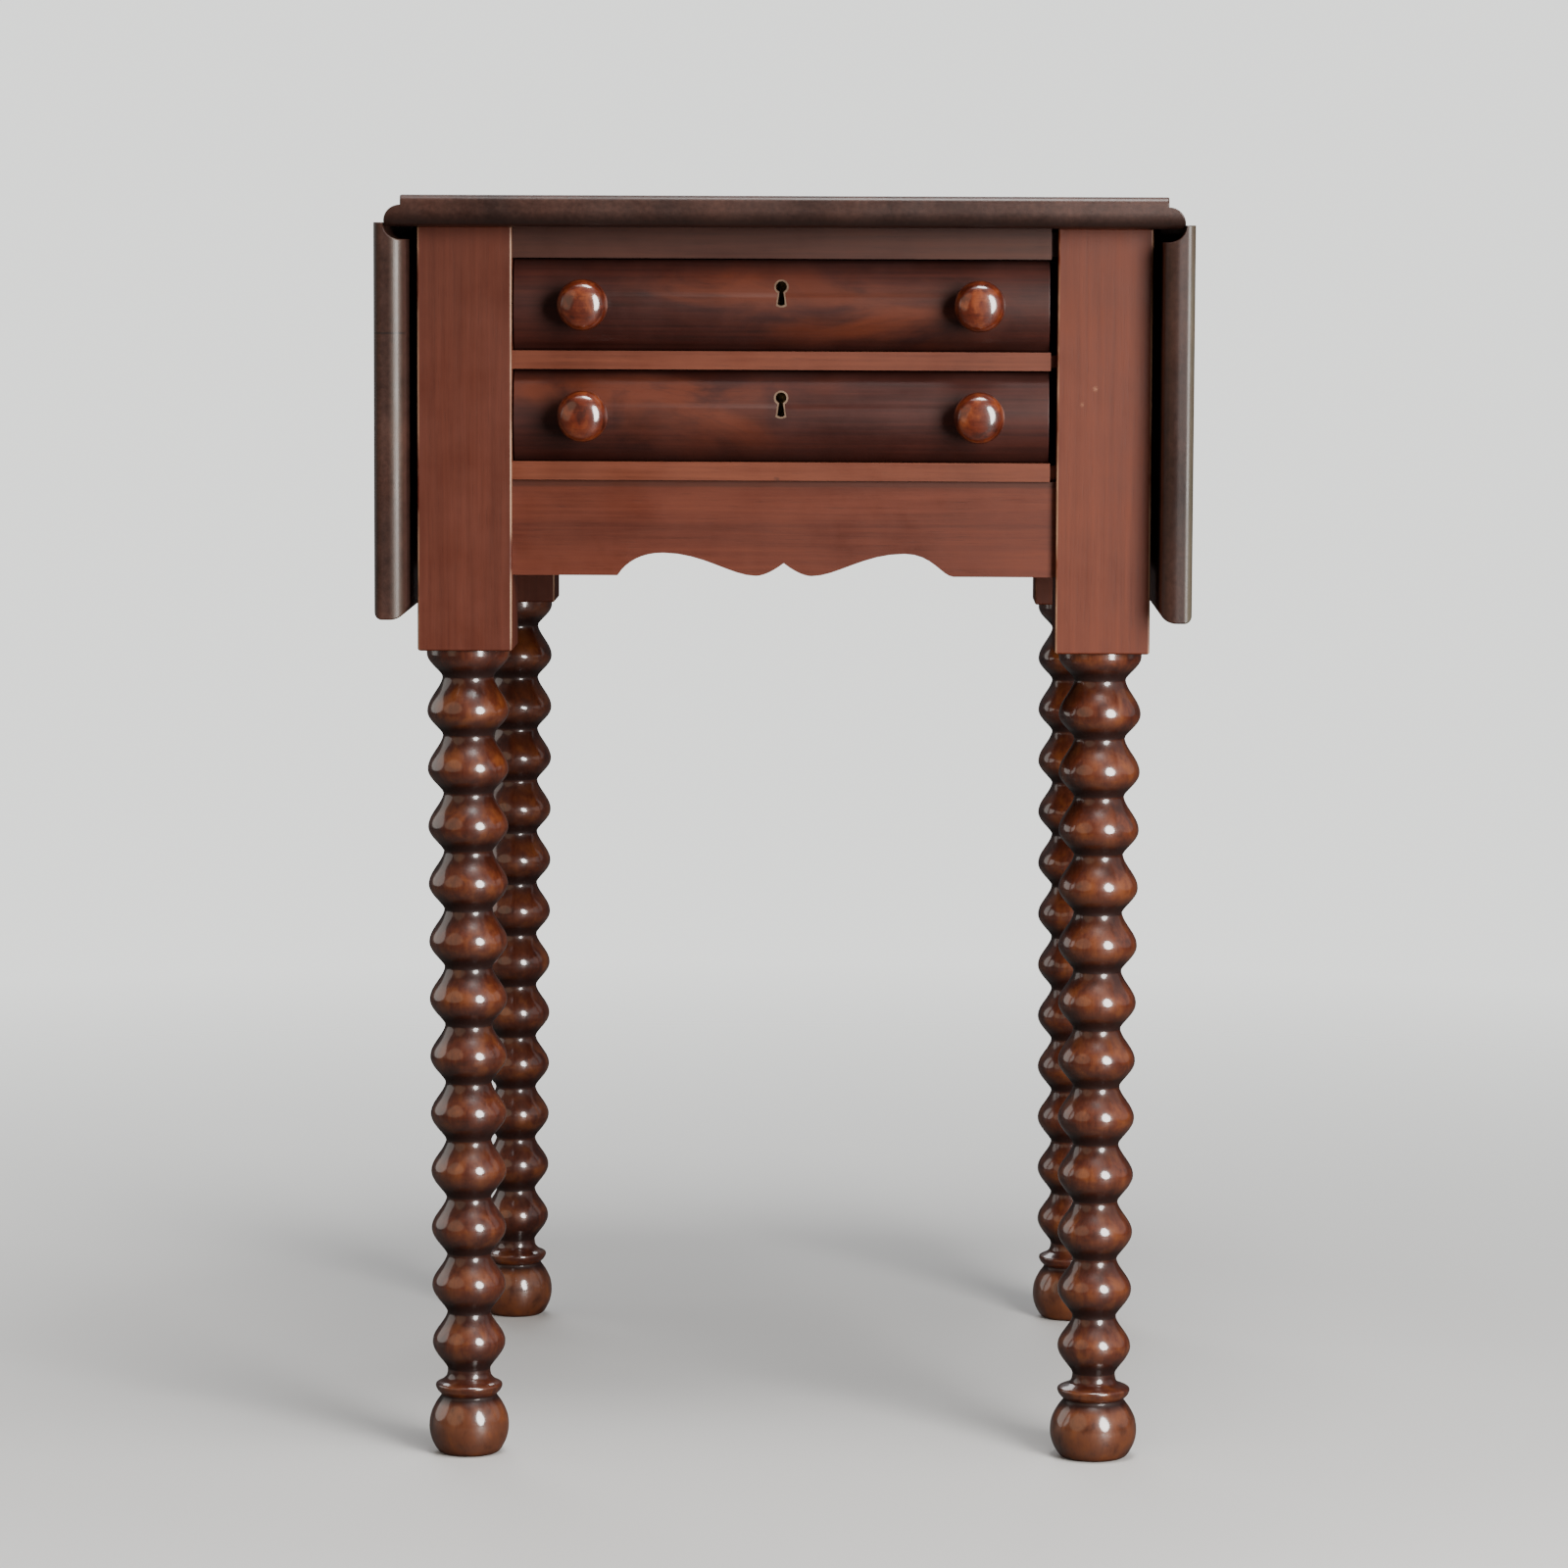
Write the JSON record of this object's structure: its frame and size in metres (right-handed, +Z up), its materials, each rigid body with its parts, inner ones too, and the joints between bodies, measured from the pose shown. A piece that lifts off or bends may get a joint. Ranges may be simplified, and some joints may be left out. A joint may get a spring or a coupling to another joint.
{
  "type": "drop-leaf sewing table",
  "caption": "Small drop-leaf sewing table with cushion-fronted drawers, a scalloped apron and bobbin-turned legs.",
  "frame": {"origin": "on the floor, under the middle of the fixed top", "axes": "+Z up; the drawers open towards -Y; +X is to the right of someone facing the drawers"},
  "size_m": [0.4634, 0.53, 0.73],
  "materials": {
    "frame_wood": "old varnish, satin",
    "turned_wood": "dark varnish, glossy",
    "veneer": "figured veneer, varnished",
    "top_wood": "old varnish, semi-gloss",
    "knob_wood": "polished",
    "secondary_wood": "bare, aged",
    "brass": "tarnished",
    "iron": "dark, slightly rusted"
  },
  "bodies": {
    "case": {"front_left_leg": "turned_wood", "front_right_leg": "turned_wood", "back_left_leg": "turned_wood", "back_right_leg": "turned_wood", "left_side_panel": "frame_wood", "right_side_panel": "frame_wood", "back_panel": "frame_wood", "top_rail": "frame_wood", "middle_rail": "frame_wood", "bottom_rail": "frame_wood", "front_apron": "frame_wood", "upper_left_runner": "secondary_wood", "upper_right_runner": "secondary_wood", "lower_left_runner": "secondary_wood", "lower_right_runner": "secondary_wood", "left_kicker": "secondary_wood", "right_kicker": "secondary_wood", "upper_drawer_stop": "secondary_wood", "lower_drawer_stop": "secondary_wood", "left_support_arm": "frame_wood", "right_support_arm": "frame_wood", "left_support_screw": "iron", "right_support_screw": "iron", "fixed_top": "top_wood", "left_front_hinge_fixed_plate": "iron", "left_front_hinge_pin": "iron", "left_back_hinge_fixed_plate": "iron", "left_back_hinge_pin": "iron", "right_front_hinge_fixed_plate": "iron", "right_front_hinge_pin": "iron", "right_back_hinge_fixed_plate": "iron", "right_back_hinge_pin": "iron"},
    "left_leaf": {"left_leaf_board": "top_wood", "left_front_hinge_leaf_plate": "iron", "left_back_hinge_leaf_plate": "iron"},
    "right_leaf": {"right_leaf_board": "top_wood", "right_front_hinge_leaf_plate": "iron", "right_back_hinge_leaf_plate": "iron"},
    "upper_drawer": {"upper_drawer_front": "veneer", "upper_drawer_left_side": "secondary_wood", "upper_drawer_right_side": "secondary_wood", "upper_drawer_back": "secondary_wood", "upper_drawer_bottom": "secondary_wood", "upper_left_knob": "knob_wood", "upper_right_knob": "knob_wood", "upper_keyhole_liner": "brass", "upper_lock_case": "brass"},
    "lower_drawer": {"lower_drawer_front": "veneer", "lower_drawer_left_side": "secondary_wood", "lower_drawer_right_side": "secondary_wood", "lower_drawer_back": "secondary_wood", "lower_drawer_bottom": "secondary_wood", "lower_left_knob": "knob_wood", "lower_right_knob": "knob_wood", "lower_keyhole_liner": "brass", "lower_lock_case": "brass"},
    "upper_bolt": {"upper_lock_bolt": "brass"},
    "lower_bolt": {"lower_lock_bolt": "brass"}
  },
  "joints": [
    {"name": "left_leaf_hinge", "type": "hinge", "parent": "case", "child": "left_leaf", "pos_m": [-0.2165, 0, 0.7148], "axis": [0, 1, 0], "range_deg": [0, 90]},
    {"name": "right_leaf_hinge", "type": "hinge", "parent": "case", "child": "right_leaf", "pos_m": [0.2165, 0, 0.7148], "axis": [0, -1, 0], "range_deg": [0, 90]},
    {"name": "upper_drawer_slide", "type": "slide", "parent": "case", "child": "upper_drawer", "axis": [0, -1, 0], "range_m": [0, 0.3]},
    {"name": "lower_drawer_slide", "type": "slide", "parent": "case", "child": "lower_drawer", "axis": [0, -1, 0], "range_m": [0, 0.3]},
    {"name": "upper_bolt_throw", "type": "slide", "parent": "upper_drawer", "child": "upper_bolt", "axis": [0, 0, 1], "range_m": [0, 0.006]},
    {"name": "lower_bolt_throw", "type": "slide", "parent": "lower_drawer", "child": "lower_bolt", "axis": [0, 0, 1], "range_m": [0, 0.006]}
  ]
}
